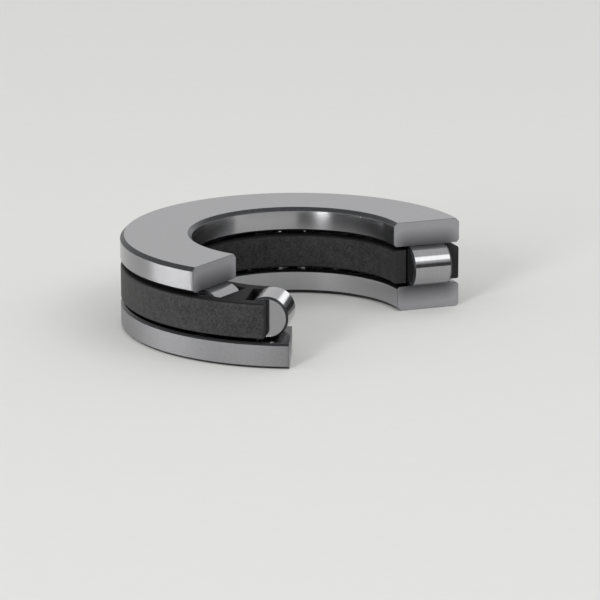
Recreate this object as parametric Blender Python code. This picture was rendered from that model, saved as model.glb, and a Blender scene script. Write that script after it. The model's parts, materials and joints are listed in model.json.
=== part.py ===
"""Cylindrical roller thrust bearing, cut away to show its rollers.

Two flat steel washers carry a cage of radial rollers between them. Every ring
is sectioned on one common plane through a roller's axis. At its other end each
ring stops at a different angle, so that the cage and its end roller stand out
from under the shaft washer.

Lengths are in metres. The origin is on the bearing's axis, at the underside of
the housing washer, with +Z up.
"""
import math

import bmesh
import bpy
from mathutils import Matrix

# Sizes along a radius, from the shaft outwards
SHAFT_BORE_DIAMETER = 0.025
HOUSING_BORE_RELIEF = 0.0005
CAGE_BORE_STEP = 0.00005
INNER_RIM_WIDTH = 0.00157
ROLLER_END_CLEARANCE = 0.00008
ROLLER_LENGTH = 0.005
OUTER_RIM_WIDTH = 0.00169
CAGE_OUTER_STEP = 0.00003

# Sizes along the axis
HOUSING_WASHER_THICKNESS = 0.003
SHAFT_WASHER_THICKNESS = 0.003
ROLLER_DIAMETER = 0.00495
RACEWAY_CLEARANCE = 0.000025
CAGE_FACE_CLEARANCE = 0.00045

# Spacing of the rollers, and how far round the housing washer still goes
POCKET_SIDE_CLEARANCE = 0.00005
THINNEST_BAR = 0.0006
HOUSING_SWEEP = math.radians(248)

# Chamfers, measured along each of the two faces that they join
SHAFT_MOUNTING_CHAMFER = 0.00045
SHAFT_RACEWAY_CHAMFER = 0.0003
HOUSING_RACEWAY_CHAMFER = 0.0003
HOUSING_SEAT_OUTER_CHAMFER = 0.0003
HOUSING_SEAT_BORE_CHAMFER = 0.00045
CAGE_TOP_OUTER_CHAMFER = 0.0004
CAGE_UNDERSIDE_OUTER_CHAMFER = 0.0002
CAGE_BORE_CHAMFER = 0.00018
ROLLER_CHAMFER = 0.00022

# Fineness of the round faces
RING_STEP = math.radians(3)
ROLLER_SIDES = 48

# Radii that follow from the sizes above
SHAFT_BORE_RADIUS = SHAFT_BORE_DIAMETER / 2
HOUSING_BORE_RADIUS = SHAFT_BORE_RADIUS + HOUSING_BORE_RELIEF
CAGE_BORE_RADIUS = SHAFT_BORE_RADIUS + CAGE_BORE_STEP
POCKET_INNER_RADIUS = CAGE_BORE_RADIUS + INNER_RIM_WIDTH
ROLLER_INNER_RADIUS = POCKET_INNER_RADIUS + ROLLER_END_CLEARANCE
ROLLER_MIDDLE_RADIUS = ROLLER_INNER_RADIUS + ROLLER_LENGTH / 2
POCKET_LENGTH = ROLLER_LENGTH + 2 * ROLLER_END_CLEARANCE
POCKET_WIDTH = ROLLER_DIAMETER + 2 * POCKET_SIDE_CLEARANCE
CAGE_OUTER_RADIUS = POCKET_INNER_RADIUS + POCKET_LENGTH + OUTER_RIM_WIDTH
OUTER_RADIUS = CAGE_OUTER_RADIUS + CAGE_OUTER_STEP

# Heights that follow from them
RACEWAY_DISTANCE = ROLLER_DIAMETER + 2 * RACEWAY_CLEARANCE
CAGE_HEIGHT = RACEWAY_DISTANCE - 2 * CAGE_FACE_CLEARANCE
ROLLER_AXIS_HEIGHT = HOUSING_WASHER_THICKNESS + RACEWAY_DISTANCE / 2
SHAFT_WASHER_HEIGHT = HOUSING_WASHER_THICKNESS + RACEWAY_DISTANCE

# A whole ring has as many pockets as leave a sound bar between two of them.
# The cage stops at the last roller that the housing washer still carries, and
# the shaft washer one roller sooner.
POCKETS_IN_WHOLE_RING = int(math.tau * POCKET_INNER_RADIUS / (POCKET_WIDTH + THINNEST_BAR))
PITCH_ANGLE = math.tau / POCKETS_IN_WHOLE_RING
PITCHES_LEFT = int(HOUSING_SWEEP / PITCH_ANGLE)
ROLLERS_LEFT = PITCHES_LEFT + 1
COMMON_CUT_AZIMUTH = PITCH_ANGLE / 2
CAGE_SWEEP = PITCHES_LEFT * PITCH_ANGLE
SHAFT_SWEEP = CAGE_SWEEP - PITCH_ANGLE

GROUND_STEEL_COLOUR = (0.40, 0.41, 0.42, 1)
POLISHED_STEEL_COLOUR = (0.62, 0.63, 0.64, 1)
POLYAMIDE_COLOUR = (0.045, 0.047, 0.05, 1)
SHARP_EDGE_ANGLE = math.radians(25)


def clear_scene():
    for old_object in list(bpy.data.objects):
        bpy.data.objects.remove(old_object, do_unlink=True)


def make_material(name, colour, roughness, metallic):
    material = bpy.data.materials.new(name)
    material.use_nodes = True
    shader = material.node_tree.nodes["Principled BSDF"]
    shader.inputs["Base Color"].default_value = colour
    shader.inputs["Roughness"].default_value = roughness
    shader.inputs["Metallic"].default_value = metallic
    material.diffuse_color = colour
    return material


def mesh_from_bmesh(bm, name):
    bmesh.ops.recalc_face_normals(bm, faces=bm.faces)
    mesh = bpy.data.meshes.new(name)
    bm.to_mesh(mesh)
    bm.free()
    mesh.shade_smooth()
    mesh.set_sharp_from_angle(angle=SHARP_EDGE_ANGLE)
    return mesh


def add_object(name, mesh, material=None):
    new_object = bpy.data.objects.new(name, mesh)
    bpy.context.scene.collection.objects.link(new_object)
    if material is not None and not mesh.materials:
        mesh.materials.append(material)
    return new_object


def chamfered_section(inner, outer, thickness, chamfers):
    """Corners of a ring's section, as pairs of radius and height above its underside.

    The chamfers are given for the bore and then the outside, underneath and then on top.
    """
    bore_low, outer_low, bore_high, outer_high = chamfers
    return [
        (inner + bore_low, 0),
        (outer - outer_low, 0),
        (outer, outer_low),
        (outer, thickness - outer_high),
        (outer - outer_high, thickness),
        (inner + bore_high, thickness),
        (inner, thickness - bore_high),
        (inner, bore_low),
    ]


def ring_sector_mesh(name, section, sweep):
    """Turn a section about the Z axis from the common cut, with a flat face at each end."""
    bm = bmesh.new()
    cut_plane = Matrix.Rotation(COMMON_CUT_AZIMUTH, 3, "Z")
    corners = [bm.verts.new((radius, 0, height)) for radius, height in section]
    start_face = bm.faces.new(corners)
    bmesh.ops.rotate(bm, verts=corners, cent=(0, 0, 0), matrix=cut_plane)
    bmesh.ops.spin(
        bm,
        geom=[start_face, *start_face.edges, *start_face.verts],
        cent=(0, 0, 0),
        axis=(0, 0, 1),
        angle=sweep,
        steps=round(sweep / RING_STEP),
    )
    return mesh_from_bmesh(bm, name)


def roller_mesh():
    """One roller with its axis along X and its middle at the origin."""
    bm = bmesh.new()
    bmesh.ops.create_cone(
        bm,
        cap_ends=True,
        segments=ROLLER_SIDES,
        radius1=ROLLER_DIAMETER / 2,
        radius2=ROLLER_DIAMETER / 2,
        depth=ROLLER_LENGTH,
        matrix=Matrix.Rotation(math.pi / 2, 4, "Y"),
    )
    end_faces = [face for face in bm.faces if len(face.verts) == ROLLER_SIDES]
    rims = [edge for face in end_faces for edge in face.edges]
    bmesh.ops.bevel(
        bm,
        geom=rims,
        offset=ROLLER_CHAMFER,
        offset_type="OFFSET",
        segments=1,
        affect="EDGES",
    )
    return mesh_from_bmesh(bm, "roller")


def pocket_cutter_mesh():
    """The blocks that cut every pocket, each longer than the cage is high."""
    bm = bmesh.new()
    for index in range(ROLLERS_LEFT):
        place = (
            Matrix.Rotation(roller_azimuth(index), 4, "Z")
            @ Matrix.Translation((ROLLER_MIDDLE_RADIUS, 0, CAGE_HEIGHT / 2))
            @ Matrix.Diagonal((POCKET_LENGTH, POCKET_WIDTH, 2 * CAGE_HEIGHT, 1))
        )
        bmesh.ops.create_cube(bm, size=1, matrix=place)
    return mesh_from_bmesh(bm, "cage_pockets")


def roller_azimuth(index):
    return COMMON_CUT_AZIMUTH + index * PITCH_ANGLE


def make_housing_washer(steel):
    section = chamfered_section(
        HOUSING_BORE_RADIUS,
        OUTER_RADIUS,
        HOUSING_WASHER_THICKNESS,
        (
            HOUSING_SEAT_BORE_CHAMFER,
            HOUSING_SEAT_OUTER_CHAMFER,
            HOUSING_RACEWAY_CHAMFER,
            HOUSING_RACEWAY_CHAMFER,
        ),
    )
    mesh = ring_sector_mesh("housing_washer", section, HOUSING_SWEEP)
    return add_object("housing_washer", mesh, steel)


def make_shaft_washer(steel):
    section = chamfered_section(
        SHAFT_BORE_RADIUS,
        OUTER_RADIUS,
        SHAFT_WASHER_THICKNESS,
        (
            SHAFT_RACEWAY_CHAMFER,
            SHAFT_RACEWAY_CHAMFER,
            SHAFT_MOUNTING_CHAMFER,
            SHAFT_MOUNTING_CHAMFER,
        ),
    )
    mesh = ring_sector_mesh("shaft_washer", section, SHAFT_SWEEP)
    washer = add_object("shaft_washer", mesh, steel)
    washer.location.z = SHAFT_WASHER_HEIGHT
    return washer


def make_cage(polyamide):
    section = chamfered_section(
        CAGE_BORE_RADIUS,
        CAGE_OUTER_RADIUS,
        CAGE_HEIGHT,
        (
            CAGE_BORE_CHAMFER,
            CAGE_UNDERSIDE_OUTER_CHAMFER,
            CAGE_BORE_CHAMFER,
            CAGE_TOP_OUTER_CHAMFER,
        ),
    )
    mesh = ring_sector_mesh("cage", section, CAGE_SWEEP)
    cage = add_object("cage", mesh, polyamide)
    cage.location.z = HOUSING_WASHER_THICKNESS + CAGE_FACE_CLEARANCE

    pockets = add_object("cage_pockets", pocket_cutter_mesh())
    pockets.parent = cage
    pockets.hide_render = True
    pockets.display_type = "WIRE"
    cut = cage.modifiers.new("Pockets", "BOOLEAN")
    cut.operation = "DIFFERENCE"
    cut.object = pockets
    return cage


def make_rollers(steel, cage):
    """Each roller turns about its own axis, and all of them are carried round by the cage."""
    mesh = roller_mesh()
    for index in range(ROLLERS_LEFT):
        azimuth = roller_azimuth(index)
        roller = add_object(f"roller_{index + 1:02d}", mesh, steel)
        roller.parent = cage
        roller.location = (
            ROLLER_MIDDLE_RADIUS * math.cos(azimuth),
            ROLLER_MIDDLE_RADIUS * math.sin(azimuth),
            CAGE_HEIGHT / 2,
        )
        roller.rotation_euler.z = azimuth


def main():
    clear_scene()
    ground_steel = make_material("Ground bearing steel", GROUND_STEEL_COLOUR, 0.35, 1)
    polished_steel = make_material("Polished roller steel", POLISHED_STEEL_COLOUR, 0.12, 1)
    polyamide = make_material("Glass-filled polyamide", POLYAMIDE_COLOUR, 0.55, 0)

    bearing_axis = bpy.data.objects.new("bearing_axis", None)
    bpy.context.scene.collection.objects.link(bearing_axis)

    housing_washer = make_housing_washer(ground_steel)
    shaft_washer = make_shaft_washer(ground_steel)
    cage = make_cage(polyamide)
    for ring in (housing_washer, shaft_washer, cage):
        ring.parent = bearing_axis
    make_rollers(polished_steel, cage)


main()
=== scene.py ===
"""Looks of a cut-away cylindrical roller thrust bearing, on a pale floor in soft studio light.

The frame holds every piece at its real size. Each of its rings and rollers is
made again here at a finer step, with broken edges, and gets the finish that the
real one is given: ground washers with unground chamfers, superfinished rollers
and a moulded cage.
"""
import json
import math

import bmesh
import bpy
from mathutils import Matrix, Vector


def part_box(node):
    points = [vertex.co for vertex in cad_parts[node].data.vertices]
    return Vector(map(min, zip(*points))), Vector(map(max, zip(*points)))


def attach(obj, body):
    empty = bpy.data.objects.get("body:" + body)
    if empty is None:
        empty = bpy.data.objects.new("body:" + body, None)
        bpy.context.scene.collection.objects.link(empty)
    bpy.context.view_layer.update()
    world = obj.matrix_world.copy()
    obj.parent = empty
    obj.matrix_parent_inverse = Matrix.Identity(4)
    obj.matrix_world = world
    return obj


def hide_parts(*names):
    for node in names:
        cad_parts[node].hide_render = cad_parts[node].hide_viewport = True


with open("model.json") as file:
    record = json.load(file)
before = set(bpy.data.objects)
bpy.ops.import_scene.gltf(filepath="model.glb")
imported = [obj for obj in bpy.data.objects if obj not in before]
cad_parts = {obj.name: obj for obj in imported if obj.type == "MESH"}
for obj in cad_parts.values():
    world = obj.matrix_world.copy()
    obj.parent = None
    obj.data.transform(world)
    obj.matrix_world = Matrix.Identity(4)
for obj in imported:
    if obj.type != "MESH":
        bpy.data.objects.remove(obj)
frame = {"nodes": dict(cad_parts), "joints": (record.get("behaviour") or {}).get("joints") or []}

bl_info = {
    "name": "Cut-away roller thrust bearing",
    "version": (1, 0, 0),
    "blender": (4, 5, 0),
    "location": "3D View > Sidebar > Bearing",
    "description": "Dresses a sectioned cylindrical roller thrust bearing and sets its stage",
    "category": "Object",
}

MM = 0.001
SAME_PLANE = 0.001 * MM
# The floor lies this far under the part, so that the two don't share a plane
FLOOR_DROP = 0.01 * MM
FILLET_STEPS = 6

# A noise lies mostly between these levels, where a finish goes from its dark to its light
DARK_SPOT = 0.3
LIGHT_SPOT = 0.7
PATTERN_RANGE = {"From Min": DARK_SPOT, "From Max": LIGHT_SPOT}
# A quarter turn of a highlight, from along the grinding lines to across them
ACROSS_THE_LINES = 0.25
# Painted shade darkens the cut steel as far as this from the rollers, and leaves this share of its
# brightness beside them
ROLLER_SHADE_REACH = 2.2 * MM
ROLLER_SHADE_DEPTH = 0.3

# The studio's walls grow light where a direction's share of back and up passes these levels
UP_SHARE = 0.85
DARK_BELOW = -0.5
LIGHT_ABOVE = -0.25

# Soft boxes: where each stands and how large it looks from the bearing, in degrees, and
# what a mirror would show of it, where 1 is white
LAMP_DISTANCE = 1.2
SOFT_BOXES = {
    "front_soft_box": {"azimuth": -46, "elevation": 45, "width": 44, "height": 22, "brightness": 1.6},
    "side_strip": {"azimuth": -127, "elevation": 18, "width": 13, "height": 24, "brightness": 18},
    "left_low_strip": {"azimuth": 176, "elevation": 1.1, "width": 36, "height": 2.2, "brightness": 50},
    "back_soft_box": {"azimuth": 57, "elevation": 14, "width": 12, "height": 18, "brightness": 1.2},
}

CAGE_FINISHES = ["polyamide", "cut_polyamide", "pocket_shade_polyamide", "shaded_polyamide"]
ROLLER_FINISHES = ["roller", "dark_rim", "roller_end"]

HOUSING_WASHER = "housing_washer"
SHAFT_WASHER = "shaft_washer"
CAGE = "cage"
ROLLER_NODES = sorted(name for name in frame["nodes"] if name.startswith("roller_"))
ROLLER_JOINTS = {joint["child"]: joint for joint in frame["joints"] if joint["child"] in ROLLER_NODES}


def linear_from_hex(code):
    """An sRGB hex colour such as "8C8D8F" as linear red, green and blue."""
    levels = [int(code[place:place + 2], 16) / 255 for place in (0, 2, 4)]
    return tuple(
        level / 12.92 if level <= 0.04045 else ((level + 0.055) / 1.055) ** 2.4
        for level in levels
    )


def shade(colour, factor):
    """A linear colour made lighter or darker, with the alpha that a socket wants."""
    return (*[min(1, channel * factor) for channel in colour], 1)


class RingShape:
    """Radii, heights, chamfers and cut azimuths of a ring, read from the corners of its node."""

    def __init__(self, node):
        corners = [vertex.co for vertex in frame["nodes"][node].data.vertices]
        radii = [math.hypot(corner.x, corner.y) for corner in corners]
        turns = [math.atan2(corner.y, corner.x) % math.tau for corner in corners]
        low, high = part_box(node)
        self.bottom = low.z
        self.top = high.z
        self.bore = min(radii)
        self.outside = max(radii)
        self.start = min(turns)
        self.end = max(turns)
        flat_radii = {
            level: [
                radius
                for corner, radius in zip(corners, radii)
                if abs(corner.z - level) < SAME_PLANE
            ]
            for level in (self.bottom, self.top)
        }
        self.bore_chamfers = [min(flat_radii[z]) - self.bore for z in (self.bottom, self.top)]
        self.outer_chamfers = [self.outside - max(flat_radii[z]) for z in (self.bottom, self.top)]

    def section(self):
        """The ring's section, from the underside's inner corner round by the outside."""
        bore_low, bore_high = self.bore_chamfers
        outer_low, outer_high = self.outer_chamfers
        return [
            (self.bore + bore_low, self.bottom),
            (self.outside - outer_low, self.bottom),
            (self.outside, self.bottom + outer_low),
            (self.outside, self.top - outer_high),
            (self.outside - outer_high, self.top),
            (self.bore + bore_high, self.top),
            (self.bore, self.top - bore_high),
            (self.bore, self.bottom + bore_low),
        ]


class RollerShape:
    """Axis, length, radius and end chamfer of a roller, read from its node and its joint."""

    def __init__(self, node):
        joint = ROLLER_JOINTS[node]
        self.middle = Vector(joint["pos_m"])
        self.axis = Vector(joint["axis"]).normalized()
        self.azimuth = math.atan2(self.axis.y, self.axis.x)
        self.middle_radius = math.hypot(self.middle.x, self.middle.y)
        places = []
        for vertex in frame["nodes"][node].data.vertices:
            offset = vertex.co - self.middle
            along = offset.dot(self.axis)
            places.append((along, (offset - along * self.axis).length))
        self.length = 2 * max(along for along, _ in places)
        self.radius = max(radius for _, radius in places)
        end_radius = max(radius for along, radius in places if along > self.length / 2 - SAME_PLANE)
        self.chamfer = self.radius - end_radius


CAGE_SHAPE = RingShape(CAGE)
FIRST_ROLLER = RollerShape(ROLLER_NODES[0])
ROLLER_PITCH = (CAGE_SHAPE.end - CAGE_SHAPE.start) / (len(ROLLER_NODES) - 1)


class PieceSettings(bpy.types.PropertyGroup):
    """Sizes that the finer pieces add to the frame."""

    turn_step: bpy.props.FloatProperty(
        name="Turning step",
        description="Angle between two facets of a ring",
        default=math.radians(1),
        min=math.radians(0.25),
        unit="ROTATION",
    )
    cut_edge: bpy.props.FloatProperty(
        name="Cut edge round",
        description="Width of the rounding round the faces where a washer is cut open",
        default=0.06 * MM,
        unit="LENGTH",
        precision=5,
    )
    ground_edge: bpy.props.FloatProperty(
        name="Ground edge round",
        description="Width of the rounding where a washer's ground faces meet their chamfers",
        default=0.018 * MM,
        unit="LENGTH",
        precision=5,
    )
    cage_edge: bpy.props.FloatProperty(
        name="Cage edge round",
        description="Width of the rounding that the mould leaves on the cage's edges",
        default=0.05 * MM,
        unit="LENGTH",
        precision=5,
    )
    roller_edge: bpy.props.FloatProperty(
        name="Roller edge round",
        description="Width of the rounding at each side of a roller's end chamfer",
        default=0.03 * MM,
        unit="LENGTH",
        precision=5,
    )
    roller_sides: bpy.props.IntProperty(
        name="Roller sides",
        description="Facets round a roller",
        default=128,
        min=24,
    )
    pocket_side_gap: bpy.props.FloatProperty(
        name="Pocket side gap",
        description="Clearance between a roller and the bar beside it",
        default=0.05 * MM,
        unit="LENGTH",
        precision=5,
    )
    pocket_end_gap: bpy.props.FloatProperty(
        name="Pocket end gap",
        description="Clearance between a roller's end and the cage's rim",
        default=0.08 * MM,
        unit="LENGTH",
        precision=5,
    )


class FinishSettings(bpy.types.PropertyGroup):
    """Colours of the finishes."""

    steel: bpy.props.FloatVectorProperty(
        name="Bearing steel",
        description="Colour of clean ground bearing steel",
        subtype="COLOR",
        size=3,
        default=linear_from_hex("ABABAD"),
    )
    chamfer_steel: bpy.props.FloatVectorProperty(
        name="Chamfer steel",
        description="Colour of turned steel that hardening has darkened",
        subtype="COLOR",
        size=3,
        default=linear_from_hex("464749"),
    )
    cut_steel: bpy.props.FloatVectorProperty(
        name="Cut steel",
        description="Colour of the faces where the washers are cut open",
        subtype="COLOR",
        size=3,
        default=linear_from_hex("9A9A9D"),
    )
    polyamide: bpy.props.FloatVectorProperty(
        name="Cage polyamide",
        description="Colour of the glass-filled polyamide of the cage",
        subtype="COLOR",
        size=3,
        default=linear_from_hex("282828"),
    )
    board: bpy.props.FloatVectorProperty(
        name="Floor board",
        description="Colour of the matt board that the bearing stands on",
        subtype="COLOR",
        size=3,
        default=linear_from_hex("DDDDDB"),
    )


class StageSettings(bpy.types.PropertyGroup):
    """Camera, floor and light."""

    camera_azimuth: bpy.props.FloatProperty(
        name="Camera azimuth",
        description="How far the camera stands round the bearing's axis from straight in front",
        default=math.radians(-7.8),
        unit="ROTATION",
    )
    camera_reach: bpy.props.FloatProperty(
        name="Camera reach",
        description="Level distance from the bearing's axis to the camera",
        default=391.81 * MM,
        unit="LENGTH",
    )
    camera_height: bpy.props.FloatProperty(
        name="Camera height",
        description="Height of the camera above the floor",
        default=107.14 * MM,
        unit="LENGTH",
    )
    camera_yaw: bpy.props.FloatProperty(
        name="Camera yaw",
        description="How far the camera turns to the right of the bearing's axis",
        default=math.radians(0.063),
        unit="ROTATION",
    )
    camera_pitch: bpy.props.FloatProperty(
        name="Camera pitch",
        description="How far the camera looks down",
        default=math.radians(14.94),
        unit="ROTATION",
    )
    camera_roll: bpy.props.FloatProperty(
        name="Camera roll",
        description="How far the camera leans clockwise",
        default=math.radians(0.045),
        unit="ROTATION",
    )
    camera_lens: bpy.props.FloatProperty(
        name="Camera lens",
        description="Focal length on a sensor 36 mm wide",
        default=203.03,
        unit="CAMERA",
    )
    floor_radius: bpy.props.FloatProperty(
        name="Floor radius",
        description="How far the floor reaches from the bearing",
        default=2.0,
        unit="LENGTH",
    )
    wall_light: bpy.props.FloatProperty(
        name="Wall light",
        description="Brightness of the studio behind, beside and above the bearing",
        default=0.78,
    )
    front_light: bpy.props.FloatProperty(
        name="Front light",
        description="Brightness of the studio low down on the camera's side",
        default=0.08,
    )


def add_node(tree, kind, settings=None, links=None):
    """Add a node, set its properties, colour ramp and inputs, and link its inputs."""
    node = tree.nodes.new(kind)
    for name, value in (settings or {}).items():
        if isinstance(name, int) or name in node.inputs:
            node.inputs[name].default_value = value
        elif name == "color_ramp":
            for element, (position, colour) in zip(node.color_ramp.elements, value):
                element.position = position
                element.color = colour
        else:
            setattr(node, name, value)
    for name, source in (links or {}).items():
        tree.links.new(source, node.inputs[name])
    return node


def start_material(name):
    material = bpy.data.materials.new(name)
    material.use_nodes = True
    tree = material.node_tree
    return material, tree, tree.nodes["Principled BSDF"]


def set_shader(tree, shader, links, values):
    """Link patterns to the shader's sockets, and set those that are the same all over."""
    for name, source in links.items():
        tree.links.new(source, shader.inputs[name])
    for name, value in values.items():
        shader.inputs[name].default_value = value


def grain(tree, place, size, detail=2.0, stretch=(1, 1, 1)):
    """A noise whose spots are one size across, and longer along an axis whose stretch is over 1."""
    scale = tuple(1 / (size * length) for length in stretch)
    spread = add_node(tree, "ShaderNodeMapping", {"Scale": scale}, {"Vector": place})
    noise = add_node(
        tree,
        "ShaderNodeTexNoise",
        {"Scale": 1.0, "Detail": detail, "Roughness": 0.6},
        {"Vector": spread.outputs["Vector"]},
    )
    return noise.outputs["Fac"]


def flat_ground_steel(finish):
    """100Cr6 bearing steel, hardened and flat-ground: an even satin grey with a fine grain."""
    material, tree, shader = start_material("Flat-ground bearing steel")
    place = add_node(tree, "ShaderNodeTexCoord").outputs["Object"]
    # The wheel's marks are about 0.03 mm across, too fine to show, so they are drawn 0.22 mm
    grit = grain(tree, place, 0.22 * MM)
    colour = add_node(
        tree,
        "ShaderNodeValToRGB",
        {
            "color_ramp": [
                (DARK_SPOT, shade(finish.steel, 0.86)),
                (LIGHT_SPOT, shade(finish.steel, 1.12)),
            ]
        },
        {"Fac": grit},
    ).outputs["Color"]
    set_shader(
        tree,
        shader,
        {
            "Base Color": colour,
            "Roughness": add_node(
                tree,
                "ShaderNodeMapRange",
                {**PATTERN_RANGE, "To Min": 0.31, "To Max": 0.37},
                {"Value": grit},
            ).outputs["Result"],
            "Normal": add_node(
                tree, "ShaderNodeBump", {"Distance": 0.0015 * MM}, {"Height": grit}
            ).outputs["Normal"],
        },
        {"Metallic": 1},
    )
    return material


def round_ground_steel(finish):
    """100Cr6 bearing steel, ground round: fine lines along the turn draw each light into a band."""
    return ground_along_the_turn(
        finish, "Round-ground bearing steel", brightness=0.8, roughness=0.26, anisotropy=0.85
    )


def bore_ground_steel(finish):
    """100Cr6 bearing steel, ground inside: the same lines along the turn, from a finer wheel."""
    return ground_along_the_turn(
        finish, "Bore-ground bearing steel", brightness=1.05, roughness=0.22, anisotropy=0.85
    )


def satin_ground_steel(finish):
    """100Cr6 bearing steel, ground round with a coarser wheel: the bands melt into an even satin."""
    return ground_along_the_turn(
        finish, "Satin-ground bearing steel", brightness=0.57, roughness=0.52, anisotropy=0.15
    )


def satin_bore_steel(finish):
    """100Cr6 bearing steel, ground inside with a coarser wheel: an even satin, a little lighter."""
    return ground_along_the_turn(
        finish, "Satin-ground bore steel", brightness=1.3, roughness=0.4, anisotropy=0.3
    )


def ground_along_the_turn(finish, name, brightness, roughness, anisotropy):
    """Bearing steel with grinding lines that run round the ring."""
    material, tree, shader = start_material(name)
    place = add_node(tree, "ShaderNodeTexCoord").outputs["Object"]
    # Real grinding lines are about 0.02 mm apart, too fine to show, so they are drawn 0.1 mm
    lines = grain(tree, place, 0.1 * MM, stretch=(40, 40, 1))
    grit = grain(tree, place, 0.2 * MM)
    colour = add_node(
        tree,
        "ShaderNodeValToRGB",
        {
            "color_ramp": [
                (DARK_SPOT, shade(finish.steel, brightness - 0.04)),
                (LIGHT_SPOT, shade(finish.steel, brightness + 0.04)),
            ]
        },
        {"Fac": grit},
    ).outputs["Color"]
    tangent = add_node(tree, "ShaderNodeTangent", {"direction_type": "RADIAL", "axis": "Z"})
    set_shader(
        tree,
        shader,
        {
            "Base Color": colour,
            "Roughness": add_node(
                tree,
                "ShaderNodeMapRange",
                {**PATTERN_RANGE, "To Min": roughness - 0.01, "To Max": roughness + 0.01},
                {"Value": lines},
            ).outputs["Result"],
            "Normal": add_node(
                tree, "ShaderNodeBump", {"Distance": 0.00004 * MM}, {"Height": lines}
            ).outputs["Normal"],
            "Tangent": tangent.outputs["Tangent"],
        },
        {"Metallic": 1, "Anisotropic": anisotropy, "Anisotropic Rotation": ACROSS_THE_LINES},
    )
    return material


def honed_raceway_steel(finish):
    """100Cr6 bearing steel, ground and honed where the rollers run: smoother, and darker as painted
    shade under the rollers and the cage.
    """
    material, tree, shader = start_material("Honed raceway steel")
    place = add_node(tree, "ShaderNodeTexCoord").outputs["Object"]
    # Honing leaves marks of about 0.005 mm, drawn 0.14 mm so that they show at all
    grit = grain(tree, place, 0.14 * MM)
    # The low brightness is painted shade where the rollers and the cage cover the raceway
    colour = add_node(
        tree,
        "ShaderNodeValToRGB",
        {
            "color_ramp": [
                (DARK_SPOT, shade(finish.steel, 0.42)),
                (LIGHT_SPOT, shade(finish.steel, 0.5)),
            ]
        },
        {"Fac": grit},
    ).outputs["Color"]
    set_shader(
        tree,
        shader,
        {
            "Base Color": colour,
            "Roughness": add_node(
                tree,
                "ShaderNodeMapRange",
                {**PATTERN_RANGE, "To Min": 0.17, "To Max": 0.22},
                {"Value": grit},
            ).outputs["Result"],
        },
        {"Metallic": 1},
    )
    return material


def turned_chamfer_steel(finish):
    """100Cr6 bearing steel, turned and then hardened: a dark grey skin that grinding never reached."""
    material, tree, shader = start_material("Turned and hardened steel")
    place = add_node(tree, "ShaderNodeTexCoord").outputs["Object"]
    # The skin that hardening leaves is spotted, each spot about 0.35 mm across
    patches = grain(tree, place, 0.35 * MM, detail=4.0)
    colour = add_node(
        tree,
        "ShaderNodeValToRGB",
        {
            "color_ramp": [
                (DARK_SPOT, shade(finish.chamfer_steel, 0.8)),
                (LIGHT_SPOT, shade(finish.chamfer_steel, 1.15)),
            ]
        },
        {"Fac": patches},
    ).outputs["Color"]
    set_shader(
        tree,
        shader,
        {
            "Base Color": colour,
            "Roughness": add_node(
                tree,
                "ShaderNodeMapRange",
                {**PATTERN_RANGE, "To Min": 0.34, "To Max": 0.46},
                {"Value": patches},
            ).outputs["Result"],
        },
        {"Metallic": 1},
    )
    return material


def burnished_edge_steel(finish):
    """Bearing steel edges, broken by a stone and handling: a thin soft line round each face."""
    material, tree, shader = start_material("Burnished edge steel")
    place = add_node(tree, "ShaderNodeTexCoord").outputs["Object"]
    # A stone and handling wear an edge in places about 0.5 mm long
    wear = grain(tree, place, 0.5 * MM)
    colour = add_node(
        tree,
        "ShaderNodeValToRGB",
        {
            "color_ramp": [
                (DARK_SPOT, shade(finish.steel, 0.45)),
                (LIGHT_SPOT, shade(finish.steel, 0.6)),
            ]
        },
        {"Fac": wear},
    ).outputs["Color"]
    set_shader(
        tree,
        shader,
        {"Base Color": colour},
        {"Roughness": 0.5, "Metallic": 1},
    )
    return material


def outside_span(tree, value, middle, half):
    """How far a value lies outside the span that reaches half to each side, and 0 inside it."""
    away = add_node(tree, "ShaderNodeMath", {"operation": "SUBTRACT", 1: middle}, {0: value})
    size = add_node(tree, "ShaderNodeMath", {"operation": "ABSOLUTE"}, {0: away.outputs["Value"]})
    past = add_node(
        tree, "ShaderNodeMath", {"operation": "SUBTRACT", 1: half}, {0: size.outputs["Value"]}
    )
    outside = add_node(
        tree, "ShaderNodeMath", {"operation": "MAXIMUM", 1: 0}, {0: past.outputs["Value"]}
    )
    return outside.outputs["Value"]


def distance_from_rolling_line(tree, place):
    """How far a point of a cut face lies from where a roller's length touches the washer."""
    level = add_node(tree, "ShaderNodeVectorMath", {"operation": "MULTIPLY", 1: (1, 1, 0)}, {0: place})
    radius = add_node(
        tree, "ShaderNodeVectorMath", {"operation": "LENGTH"}, {0: level.outputs["Vector"]}
    )
    height = add_node(tree, "ShaderNodeSeparateXYZ", {}, {0: place})
    past_end = outside_span(
        tree, radius.outputs["Value"], FIRST_ROLLER.middle_radius, FIRST_ROLLER.length / 2
    )
    past_raceway = outside_span(
        tree, height.outputs["Z"], FIRST_ROLLER.middle.z, FIRST_ROLLER.radius
    )
    both = add_node(tree, "ShaderNodeCombineXYZ", {}, {0: past_end, 1: past_raceway})
    distance = add_node(
        tree, "ShaderNodeVectorMath", {"operation": "LENGTH"}, {0: both.outputs["Vector"]}
    )
    return distance.outputs["Value"]


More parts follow.
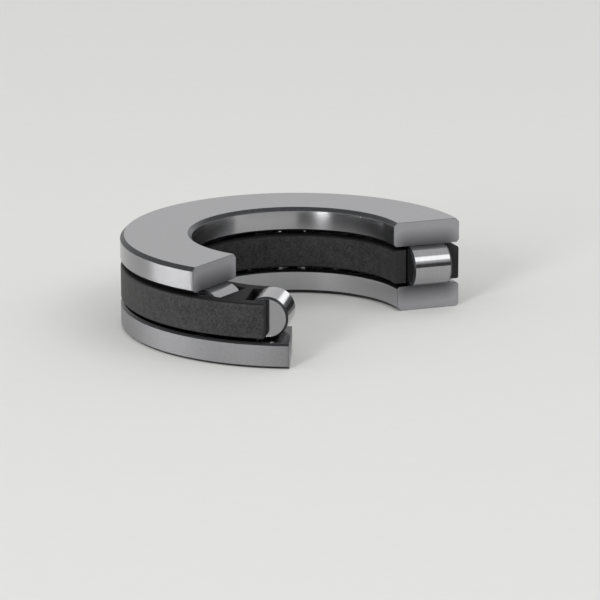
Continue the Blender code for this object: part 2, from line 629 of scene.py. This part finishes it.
def wire_cut_steel(finish):
    """Bearing steel, wire-cut and blasted: a soft grey, with painted shade that darkens it towards the
    rollers.
    """
    material, tree, shader = start_material("Wire-cut bearing steel")
    place = add_node(tree, "ShaderNodeTexCoord").outputs["Object"]
    # Wire cutting leaves craters of about 0.02 mm, too fine to show, so they are drawn 0.18 mm
    grit = grain(tree, place, 0.18 * MM, detail=3.0)
    clean = add_node(
        tree,
        "ShaderNodeValToRGB",
        {
            "color_ramp": [
                (DARK_SPOT, shade(finish.cut_steel, 1.22)),
                (LIGHT_SPOT, shade(finish.cut_steel, 1.42)),
            ]
        },
        {"Fac": grit},
    ).outputs["Color"]
    # Painted shade: the cut faces grow darker towards the rollers that stand out in front of them
    distance = distance_from_rolling_line(tree, place)
    painted_shade = add_node(
        tree,
        "ShaderNodeMapRange",
        {"From Max": ROLLER_SHADE_REACH, "To Min": ROLLER_SHADE_DEPTH},
        {"Value": distance},
    ).outputs["Result"]
    shaded_cut = add_node(
        tree, "ShaderNodeVectorMath", {"operation": "SCALE"}, {0: clean, "Scale": painted_shade}
    )
    set_shader(
        tree,
        shader,
        {
            "Base Color": shaded_cut.outputs["Vector"],
            "Roughness": add_node(
                tree,
                "ShaderNodeMapRange",
                {**PATTERN_RANGE, "To Min": 0.7, "To Max": 0.78},
                {"Value": grit},
            ).outputs["Result"],
            "Normal": add_node(
                tree, "ShaderNodeBump", {"Distance": 0.002 * MM}, {"Height": grit}
            ).outputs["Normal"],
        },
        {"Metallic": 1},
    )
    return material


def superfinished_roller_steel(finish):
    """100Cr6 roller steel, superfinished: close to a mirror, with faint lines round the roller."""
    material, tree, shader = start_material("Superfinished roller steel")
    place = add_node(tree, "ShaderNodeTexCoord").outputs["Object"]
    # Superfinishing leaves lines about 0.002 mm apart, drawn 0.12 mm so that they show at all
    lines = grain(tree, place, 0.12 * MM, stretch=(1, 30, 30))
    tangent = add_node(tree, "ShaderNodeTangent", {"direction_type": "RADIAL", "axis": "X"})
    colour = add_node(
        tree,
        "ShaderNodeValToRGB",
        {
            "color_ramp": [
                (DARK_SPOT, shade(finish.steel, 0.9)),
                (LIGHT_SPOT, shade(finish.steel, 1.0)),
            ]
        },
        {"Fac": lines},
    ).outputs["Color"]
    set_shader(
        tree,
        shader,
        {
            "Base Color": colour,
            "Roughness": add_node(
                tree,
                "ShaderNodeMapRange",
                {**PATTERN_RANGE, "To Min": 0.1, "To Max": 0.16},
                {"Value": lines},
            ).outputs["Result"],
            "Tangent": tangent.outputs["Tangent"],
        },
        {"Metallic": 1, "Anisotropic": 0.4, "Anisotropic Rotation": ACROSS_THE_LINES},
    )
    return material


def polished_end_steel(finish):
    """100Cr6 roller steel, ground and polished on the end: a flat mirror, a little hazy."""
    material, tree, shader = start_material("Polished roller end steel")
    place = add_node(tree, "ShaderNodeTexCoord").outputs["Object"]
    # Polishing by hand leaves a haze in patches of about 0.3 mm
    haze = grain(tree, place, 0.3 * MM)
    colour = add_node(
        tree,
        "ShaderNodeValToRGB",
        {
            "color_ramp": [
                (DARK_SPOT, shade(finish.steel, 0.8)),
                (LIGHT_SPOT, shade(finish.steel, 0.86)),
            ]
        },
        {"Fac": haze},
    ).outputs["Color"]
    set_shader(
        tree,
        shader,
        {
            "Base Color": colour,
            "Roughness": add_node(
                tree,
                "ShaderNodeMapRange",
                {**PATTERN_RANGE, "To Min": 0.08, "To Max": 0.12},
                {"Value": haze},
            ).outputs["Result"],
        },
        {"Metallic": 1},
    )
    return material


def moulded_polyamide(finish):
    """PA66 with glass fibre, moulded: matt charcoal, mottled where fibres lie at the skin."""
    material, tree, shader = start_material("Glass-filled polyamide")
    place = add_node(tree, "ShaderNodeTexCoord").outputs["Object"]
    # Glass fibres are about 0.25 mm long, and the melt's flow gathers them in clouds near 1 mm
    fibres = grain(tree, place, 0.24 * MM, detail=3.0)
    clouds = grain(tree, place, 0.9 * MM, detail=3.0)
    cloud_level = add_node(
        tree,
        "ShaderNodeMapRange",
        {**PATTERN_RANGE, "To Min": 0.2, "To Max": 0.3},
        {"Value": clouds},
    ).outputs["Result"]
    mottle = add_node(
        tree,
        "ShaderNodeMath",
        {"operation": "MULTIPLY_ADD", 1: 0.5},
        {0: fibres, 2: cloud_level},
    )
    colour = add_node(
        tree,
        "ShaderNodeValToRGB",
        {
            "color_ramp": [
                (0.34, shade(finish.polyamide, 0.45)),
                (0.66, shade(finish.polyamide, 2.5)),
            ]
        },
        {"Fac": mottle.outputs["Value"]},
    ).outputs["Color"]
    set_shader(
        tree,
        shader,
        {
            "Base Color": colour,
            "Roughness": add_node(
                tree,
                "ShaderNodeMapRange",
                {**PATTERN_RANGE, "To Min": 0.45, "To Max": 0.62},
                {"Value": fibres},
            ).outputs["Result"],
            "Normal": add_node(
                tree, "ShaderNodeBump", {"Distance": 0.012 * MM}, {"Height": fibres}
            ).outputs["Normal"],
        },
        {"IOR": 1.53, "Specular IOR Level": 0.1},
    )
    return material


def pocket_shade_polyamide(finish):
    """The polyamide inside the pockets: nearly black, painted shade so that they read deep."""
    return smooth_polyamide(finish, "Pocket polyamide in painted shade", brightness=0.3)


def shaded_polyamide(finish):
    """The polyamide beside the raceways, darker than the skin outside: painted shade under the washers
    and rollers.
    """
    return smooth_polyamide(finish, "Polyamide in painted shade", brightness=0.45)


def cut_polyamide(finish):
    """The polyamide where a fine saw opened the cage: even and dark, with no moulded skin."""
    return smooth_polyamide(finish, "Cut polyamide", brightness=1.3)


def smooth_polyamide(finish, name, brightness):
    """PA66 with glass fibre without the mottling of the moulded skin."""
    material, tree, shader = start_material(name)
    # Clumps of fibre ends are about 0.3 mm across
    clouds = grain(tree, add_node(tree, "ShaderNodeTexCoord").outputs["Object"], 0.3 * MM)
    colour = add_node(
        tree,
        "ShaderNodeValToRGB",
        {
            "color_ramp": [
                (DARK_SPOT, shade(finish.polyamide, 0.85 * brightness)),
                (LIGHT_SPOT, shade(finish.polyamide, 1.2 * brightness)),
            ]
        },
        {"Fac": clouds},
    ).outputs["Color"]
    set_shader(
        tree,
        shader,
        {"Base Color": colour},
        {"Roughness": 0.6, "IOR": 1.53, "Specular IOR Level": 0.1},
    )
    return material


def dark_rim_steel(finish):
    """Steel of the rollers' rims, turned before hardening and left dark, and of the raceways' edges,
    where the same dark is painted shade in the gap beside the cage.
    """
    material, tree, shader = start_material("Dark rim steel")
    # Spots of the hardened skin, about 0.3 mm across
    patches = grain(tree, add_node(tree, "ShaderNodeTexCoord").outputs["Object"], 0.3 * MM)
    colour = add_node(
        tree,
        "ShaderNodeValToRGB",
        {
            "color_ramp": [
                (DARK_SPOT, shade(finish.chamfer_steel, 0.6)),
                (LIGHT_SPOT, shade(finish.chamfer_steel, 0.8)),
            ]
        },
        {"Fac": patches},
    ).outputs["Color"]
    set_shader(
        tree,
        shader,
        {"Base Color": colour},
        {"Roughness": 0.34, "Metallic": 1},
    )
    return material


def matt_board(finish):
    """Pale matt studio board: a plain surface with hardly a grain."""
    material, tree, shader = start_material("Matt board")
    # Flecks of the board's pulp, about 2.5 mm across
    fleck = grain(tree, add_node(tree, "ShaderNodeTexCoord").outputs["Object"], 2.5 * MM)
    colour = add_node(
        tree,
        "ShaderNodeValToRGB",
        {
            "color_ramp": [
                (DARK_SPOT, shade(finish.board, 0.995)),
                (LIGHT_SPOT, shade(finish.board, 1.005)),
            ]
        },
        {"Fac": fleck},
    ).outputs["Color"]
    set_shader(
        tree,
        shader,
        {"Base Color": colour},
        {"Roughness": 0.9, "Specular IOR Level": 0.2},
    )
    return material


FINISHES = {
    "flat_ground": flat_ground_steel,
    "round_ground": round_ground_steel,
    "bore_ground": bore_ground_steel,
    "satin_ground": satin_ground_steel,
    "satin_bore": satin_bore_steel,
    "raceway": honed_raceway_steel,
    "chamfer": turned_chamfer_steel,
    "edge": burnished_edge_steel,
    "cut": wire_cut_steel,
    "roller": superfinished_roller_steel,
    "roller_end": polished_end_steel,
    "dark_rim": dark_rim_steel,
    "polyamide": moulded_polyamide,
    "cut_polyamide": cut_polyamide,
    "shaded_polyamide": shaded_polyamide,
    "pocket_shade_polyamide": pocket_shade_polyamide,
    "board": matt_board,
}
made_materials = {}


def finish_material(name):
    """The material of a finish, made once."""
    if name not in made_materials:
        made_materials[name] = FINISHES[name](bpy.context.scene.bearing_finish)
    return made_materials[name]


def add_piece(name, bm, finishes):
    """Turn a bmesh into a smooth-shaded object with a material slot for each finish."""
    bmesh.ops.recalc_face_normals(bm, faces=bm.faces)
    mesh = bpy.data.meshes.new(name)
    bm.to_mesh(mesh)
    bm.free()
    mesh.shade_smooth()
    for finish in finishes:
        mesh.materials.append(finish_material(finish))
    piece = bpy.data.objects.new(name, mesh)
    bpy.context.scene.collection.objects.link(piece)
    return piece


def break_edges(piece, width, slot=-1, limit="ANGLE", least_angle=math.radians(30)):
    """Round the edges that are sharp or carry a weight, and keep the faces beside them flat."""
    bevel = piece.modifiers.new("Broken edges", "BEVEL")
    bevel.width = width
    bevel.segments = 3
    bevel.limit_method = limit
    bevel.angle_limit = least_angle
    bevel.material = slot
    normals = piece.modifiers.new("Flat faces", "WEIGHTED_NORMAL")
    normals.weight = 100
    normals.keep_sharp = False


def on_circle(radius, turn, height):
    return radius * math.cos(turn), radius * math.sin(turn), height


def ring_bmesh(shape, step, side_slots, cut_slot, ground_weight):
    """A ring's section carried round from one cut face to the other, with its edges weighted."""
    bm = bmesh.new()
    weight = bm.edges.layers.float.new("bevel_weight_edge")
    section = shape.section()
    count = round((shape.end - shape.start) / step)
    stations = []
    for index in range(count + 1):
        turn = shape.start + (shape.end - shape.start) * index / count
        stations.append([bm.verts.new(on_circle(radius, turn, height)) for radius, height in section])
    for near, far in zip(stations, stations[1:]):
        for side, slot in enumerate(side_slots):
            following = (side + 1) % len(section)
            face = bm.faces.new((near[side], near[following], far[following], far[side]))
            face.material_index = slot
    for near, far in zip(stations, stations[1:]):
        for near_corner, far_corner in zip(near, far):
            bm.edges.get((near_corner, far_corner))[weight] = ground_weight
    for end in (stations[0], stations[-1]):
        face = bm.faces.new(end)
        face.material_index = cut_slot
        for edge in face.edges:
            edge[weight] = 1
    return bm


def add_washer(name, node, pieces, underside, upper_side, outside, bore):
    """A washer: ground faces, bore and outside, dark chamfers, and a cut face at each end."""
    shape = RingShape(node)
    finishes = ["flat_ground", outside, bore, "raceway", "chamfer", "dark_rim", "cut", "edge"]
    slot = {finish: index for index, finish in enumerate(finishes)}
    # The raceway-side chamfers take the dark rim finish: painted shade in the gap beside the cage
    low_chamfer = "dark_rim" if underside == "raceway" else "chamfer"
    high_chamfer = "dark_rim" if upper_side == "raceway" else "chamfer"
    sides = [
        underside,
        low_chamfer,
        outside,
        high_chamfer,
        upper_side,
        high_chamfer,
        bore,
        low_chamfer,
    ]
    side_slots = [slot[side] for side in sides]
    ground_weight = pieces.ground_edge / pieces.cut_edge
    bm = ring_bmesh(shape, pieces.turn_step, side_slots, slot["cut"], ground_weight)
    washer = add_piece(name, bm, finishes)
    break_edges(washer, pieces.cut_edge, slot["edge"], limit="WEIGHT")
    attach(washer, node)
    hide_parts(node)


def cage_stations(pieces):
    """Lines across the cage from bore to outside, with the pocket or bar that follows each.

    Each line is a list of four points seen from above: on the bore, on the pocket's inner end
    wall, on its outer end wall and on the outside. Beside a bar the walls' lines go on as arcs.
    """
    half_width = FIRST_ROLLER.radius + pieces.pocket_side_gap
    half_length = FIRST_ROLLER.length / 2 + pieces.pocket_end_gap
    walls = (FIRST_ROLLER.middle_radius - half_length, FIRST_ROLLER.middle_radius + half_length)
    corner_turns = [math.atan2(half_width, wall) for wall in walls]
    corner_radii = [math.hypot(half_width, wall) for wall in walls]
    pocket_steps = math.ceil(corner_turns[1] / pieces.turn_step)
    bar_steps = max(2, math.ceil((ROLLER_PITCH / 2 - corner_turns[1]) / pieces.turn_step))
    stations = []
    last = len(ROLLER_NODES) - 1
    for pocket in range(last + 1):
        centre = CAGE_SHAPE.start + pocket * ROLLER_PITCH
        first_step = 0 if pocket == 0 else -pocket_steps
        last_step = 0 if pocket == last else pocket_steps
        for step in range(first_step, last_step + 1):
            share = step / pocket_steps
            turns = [centre + share * turn for turn in corner_turns]
            across = [
                Matrix.Rotation(centre, 2) @ Vector((wall, share * half_width)) for wall in walls
            ]
            kind = "bar" if step == pocket_steps else "pocket"
            stations.append((turns, across, kind))
        if pocket == last:
            break
        for step in range(1, 2 * bar_steps):
            share = step / (2 * bar_steps)
            turns = [
                centre + turn + share * (ROLLER_PITCH - 2 * turn) for turn in corner_turns
            ]
            across = [
                Vector(on_circle(radius, turn, 0)[:2]) for radius, turn in zip(corner_radii, turns)
            ]
            stations.append((turns, across, "bar"))
    return stations


def cage_corners(turns, across):
    """The corners of one line across the cage, by name.

    The mould rounds the outer corners where the frame has chamfers of the same width.
    """
    bore_low, bore_high = CAGE_SHAPE.bore_chamfers
    outer_low, outer_high = CAGE_SHAPE.outer_chamfers
    bottom, top = CAGE_SHAPE.bottom, CAGE_SHAPE.top
    bore, outside = CAGE_SHAPE.bore, CAGE_SHAPE.outside
    bore_turn, outer_turn = turns
    inner, outer = across
    corners = {
        "bore_low": on_circle(bore, bore_turn, bottom + bore_low),
        "bore_high": on_circle(bore, bore_turn, top - bore_high),
        "lip_low": on_circle(bore + bore_low, bore_turn, bottom),
        "lip_high": on_circle(bore + bore_high, bore_turn, top),
        "inner_low": (*inner, bottom),
        "inner_high": (*inner, top),
        "outer_low": (*outer, bottom),
        "outer_high": (*outer, top),
    }
    for level in range(FILLET_STEPS + 1):
        rise = level / FILLET_STEPS * math.pi / 2
        corners[f"high_{level}"] = on_circle(
            outside - outer_high * (1 - math.cos(rise)),
            outer_turn,
            top - outer_high * (1 - math.sin(rise)),
        )
        corners[f"low_{level}"] = on_circle(
            outside - outer_low * (1 - math.cos(rise)),
            outer_turn,
            bottom + outer_low * (1 - math.sin(rise)),
        )
    return corners


def cage_bmesh(pieces):
    """The moulded cage: two rims joined by a bar between each pair of pockets."""
    bm = bmesh.new()
    slot = {finish: index for index, finish in enumerate(CAGE_FINISHES)}
    lines = []
    for turns, across, kind in cage_stations(pieces):
        corners = cage_corners(turns, across)
        lines.append(({name: bm.verts.new(corner) for name, corner in corners.items()}, kind))

    inner_rim = ["inner_low", "lip_low", "bore_low", "bore_high", "lip_high", "inner_high"]
    levels = range(FILLET_STEPS + 1)
    outer_rim = [
        "outer_high",
        *[f"high_{level}" for level in reversed(levels)],
        *[f"low_{level}" for level in levels],
        "outer_low",
    ]
    rim_bands = [*zip(inner_rim, inner_rim[1:]), *zip(outer_rim, outer_rim[1:])]
    bar_bands = [("inner_high", "outer_high"), ("outer_low", "inner_low")]
    pocket_bands = [("inner_high", "inner_low"), ("outer_low", "outer_high")]
    # The walls and the half of each fillet beside the outside keep the moulded finish, and painted
    # shade darkens the rest
    unshaded_bands = {("bore_low", "bore_high"), ("high_0", "low_0")}
    for level in range(FILLET_STEPS // 2):
        unshaded_bands |= {(f"high_{level + 1}", f"high_{level}"), (f"low_{level}", f"low_{level + 1}")}
    for (near, kind), (far, _) in zip(lines, lines[1:]):
        for first, second in rim_bands + (bar_bands if kind == "bar" else pocket_bands):
            face = bm.faces.new((near[first], near[second], far[second], far[first]))
            # Pocket faces take the pocket finish, painted nearly black as shade
            if (first, second) in pocket_bands:
                face.material_index = slot["pocket_shade_polyamide"]
            elif (first, second) not in unshaded_bands:
                face.material_index = slot["shaded_polyamide"]
    # The pockets' end walls take the same painted shade
    for (_, before), (line, after) in zip(lines, lines[1:-1]):
        if before != after:
            wall = [line[name] for name in ("inner_low", "outer_low", "outer_high", "inner_high")]
            bm.faces.new(wall).material_index = slot["pocket_shade_polyamide"]
    for line, _ in (lines[0], lines[-1]):
        for rim in (inner_rim, outer_rim):
            bm.faces.new([line[name] for name in rim]).material_index = slot["cut_polyamide"]
    return bm


def roller_bmesh(sides):
    """One roller turned about the X axis, with its middle at the origin."""
    bm = bmesh.new()
    half, radius, chamfer = FIRST_ROLLER.length / 2, FIRST_ROLLER.radius, FIRST_ROLLER.chamfer
    profile = [
        (-half, radius - chamfer),
        (chamfer - half, radius),
        (half - chamfer, radius),
        (half, radius - chamfer),
    ]
    turns = [math.tau * side / sides for side in range(sides)]
    loops = [
        [bm.verts.new((along, distance * math.cos(turn), distance * math.sin(turn))) for turn in turns]
        for along, distance in profile
    ]
    for (near, far), finish in zip(zip(loops, loops[1:]), ("dark_rim", "roller", "dark_rim")):
        for side in range(sides):
            following = (side + 1) % sides
            face = bm.faces.new((near[side], far[side], far[following], near[following]))
            face.material_index = ROLLER_FINISHES.index(finish)
    for end in (loops[0], loops[-1]):
        bm.faces.new(end).material_index = ROLLER_FINISHES.index("roller_end")
    return bm


class BEARING_OT_stage(bpy.types.Operator):
    """Set up the camera, the pale floor and the soft studio light"""

    bl_idname = "bearing.stage"
    bl_label = "Stage"

    def execute(self, context):
        stage = context.scene.bearing_stage
        add_camera(context.scene, stage)
        add_floor(stage)
        for name, box in SOFT_BOXES.items():
            add_lamp(name, **box)
        light_studio(context.scene, stage)
        context.scene.view_settings.view_transform = "Standard"
        return {"FINISHED"}


def add_camera(scene, stage):
    """The photograph's camera: a long lens from a little above, turned with the bearing's cut."""
    data = bpy.data.cameras.new("camera")
    data.sensor_width = 36
    data.lens = stage.camera_lens
    data.clip_start = 0.01
    camera = bpy.data.objects.new("camera", data)
    scene.collection.objects.link(camera)
    heading = stage.camera_azimuth - stage.camera_yaw
    camera.matrix_world = (
        Matrix.Rotation(stage.camera_azimuth, 4, "Z")
        @ Matrix.Translation((0, -stage.camera_reach, stage.camera_height))
        @ Matrix.Rotation(heading - stage.camera_azimuth, 4, "Z")
        @ Matrix.Rotation(math.pi / 2 - stage.camera_pitch, 4, "X")
        @ Matrix.Rotation(-stage.camera_roll, 4, "Z")
    )
    scene.camera = camera


def add_floor(stage):
    bm = bmesh.new()
    bmesh.ops.create_circle(bm, cap_ends=True, segments=96, radius=stage.floor_radius)
    floor = add_piece("floor", bm, ["board"])
    floor.location.z = -FLOOR_DROP


def add_lamp(name, azimuth, elevation, width, height, brightness):
    """A soft box that looks at the bearing."""
    data = bpy.data.lights.new(name, "AREA")
    data.shape = "RECTANGLE"
    data.size = 2 * LAMP_DISTANCE * math.tan(math.radians(width) / 2)
    data.size_y = 2 * LAMP_DISTANCE * math.tan(math.radians(height) / 2)
    data.energy = brightness * math.pi * data.size * data.size_y
    lamp = bpy.data.objects.new(name, data)
    lamp.visible_camera = False
    bpy.context.scene.collection.objects.link(lamp)
    turn, rise = math.radians(azimuth), math.radians(elevation)
    place = LAMP_DISTANCE * Vector(
        (math.cos(turn) * math.cos(rise), math.sin(turn) * math.cos(rise), math.sin(rise))
    )
    lamp.location = place
    lamp.rotation_euler = place.to_track_quat("Z", "Y").to_euler()


def light_studio(scene, stage):
    """A studio whose walls and ceiling are light, and darker low down on the camera's side."""
    world = bpy.data.worlds.new("studio")
    scene.world = world
    world.use_nodes = True
    tree = world.node_tree
    background = tree.nodes["Background"]
    direction = add_node(tree, "ShaderNodeTexCoord").outputs["Generated"]
    back = Vector((0, 1, 0))
    back.rotate(Matrix.Rotation(stage.camera_azimuth, 3, "Z"))
    facing = add_node(
        tree,
        "ShaderNodeVectorMath",
        {"operation": "DOT_PRODUCT", 1: (back.x, back.y, UP_SHARE)},
        {0: direction},
    )
    level = add_node(
        tree,
        "ShaderNodeMapRange",
        {
            "interpolation_type": "SMOOTHSTEP",
            "From Min": DARK_BELOW,
            "From Max": LIGHT_ABOVE,
            "To Min": stage.front_light,
            "To Max": stage.wall_light,
        },
        {"Value": facing.outputs["Value"]},
    )
    tree.links.new(level.outputs["Result"], background.inputs["Strength"])
    background.inputs["Color"].default_value = (1, 1, 1, 1)


class BEARING_OT_housing_washer(bpy.types.Operator):
    """Make the housing washer, which the bearing stands on"""

    bl_idname = "bearing.housing_washer"
    bl_label = "Housing washer"

    def execute(self, context):
        pieces = context.scene.bearing_pieces
        add_washer(
            "housing_washer_ground",
            HOUSING_WASHER,
            pieces,
            underside="flat_ground",
            upper_side="raceway",
            outside="satin_ground",
            bore="satin_bore",
        )
        return {"FINISHED"}


class BEARING_OT_shaft_washer(bpy.types.Operator):
    """Make the shaft washer, which lies on the rollers"""

    bl_idname = "bearing.shaft_washer"
    bl_label = "Shaft washer"

    def execute(self, context):
        pieces = context.scene.bearing_pieces
        add_washer(
            "shaft_washer_ground",
            SHAFT_WASHER,
            pieces,
            underside="raceway",
            upper_side="flat_ground",
            outside="round_ground",
            bore="bore_ground",
        )
        return {"FINISHED"}


class BEARING_OT_cage(bpy.types.Operator):
    """Make the moulded cage with its pockets"""

    bl_idname = "bearing.cage"
    bl_label = "Cage"

    def execute(self, context):
        pieces = context.scene.bearing_pieces
        cage = add_piece("cage_moulded", cage_bmesh(pieces), CAGE_FINISHES)
        break_edges(cage, pieces.cage_edge)
        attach(cage, CAGE)
        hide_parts(CAGE)
        return {"FINISHED"}


class BEARING_OT_rollers(bpy.types.Operator):
    """Make the rollers, one for each pocket"""

    bl_idname = "bearing.rollers"
    bl_label = "Rollers"

    def execute(self, context):
        pieces = context.scene.bearing_pieces
        pattern = add_piece("roller_pattern", roller_bmesh(pieces.roller_sides), ROLLER_FINISHES)
        for node in ROLLER_NODES:
            shape = RollerShape(node)
            roller = bpy.data.objects.new(f"{node}_finished", pattern.data)
            context.scene.collection.objects.link(roller)
            roller.location = shape.middle
            roller.rotation_euler.z = shape.azimuth
            break_edges(roller, pieces.roller_edge, ROLLER_FINISHES.index("dark_rim"))
            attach(roller, node)
            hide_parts(node)
        bpy.data.objects.remove(pattern)
        return {"FINISHED"}


OPERATORS = (
    BEARING_OT_stage,
    BEARING_OT_housing_washer,
    BEARING_OT_shaft_washer,
    BEARING_OT_cage,
    BEARING_OT_rollers,
)


class BEARING_PT_panel(bpy.types.Panel):
    """The bearing's sizes, colours and pieces in the sidebar"""

    bl_idname = "BEARING_PT_panel"
    bl_label = "Roller thrust bearing"
    bl_space_type = "VIEW_3D"
    bl_region_type = "UI"
    bl_category = "Bearing"

    def draw(self, context):
        scene = context.scene
        for title, settings in (
            ("Pieces", scene.bearing_pieces),
            ("Finishes", scene.bearing_finish),
            ("Stage", scene.bearing_stage),
        ):
            box = self.layout.box()
            box.label(text=title)
            for name in settings.bl_rna.properties.keys():
                if name not in {"rna_type", "name"}:
                    box.prop(settings, name)
        for operator in OPERATORS:
            self.layout.operator(operator.bl_idname)


SETTINGS = {
    "bearing_pieces": PieceSettings,
    "bearing_finish": FinishSettings,
    "bearing_stage": StageSettings,
}
CLASSES = (*SETTINGS.values(), *OPERATORS, BEARING_PT_panel)


def register():
    for cls in CLASSES:
        bpy.utils.register_class(cls)
    for name, settings in SETTINGS.items():
        setattr(bpy.types.Scene, name, bpy.props.PointerProperty(type=settings))


def unregister():
    for name in SETTINGS:
        delattr(bpy.types.Scene, name)
    for cls in reversed(CLASSES):
        bpy.utils.unregister_class(cls)


def main():
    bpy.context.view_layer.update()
    register()
    bpy.ops.bearing.stage()
    bpy.ops.bearing.housing_washer()
    bpy.ops.bearing.shaft_washer()
    bpy.ops.bearing.cage()
    bpy.ops.bearing.rollers()
    bpy.context.view_layer.update()


if __name__ == "__main__":
    main()
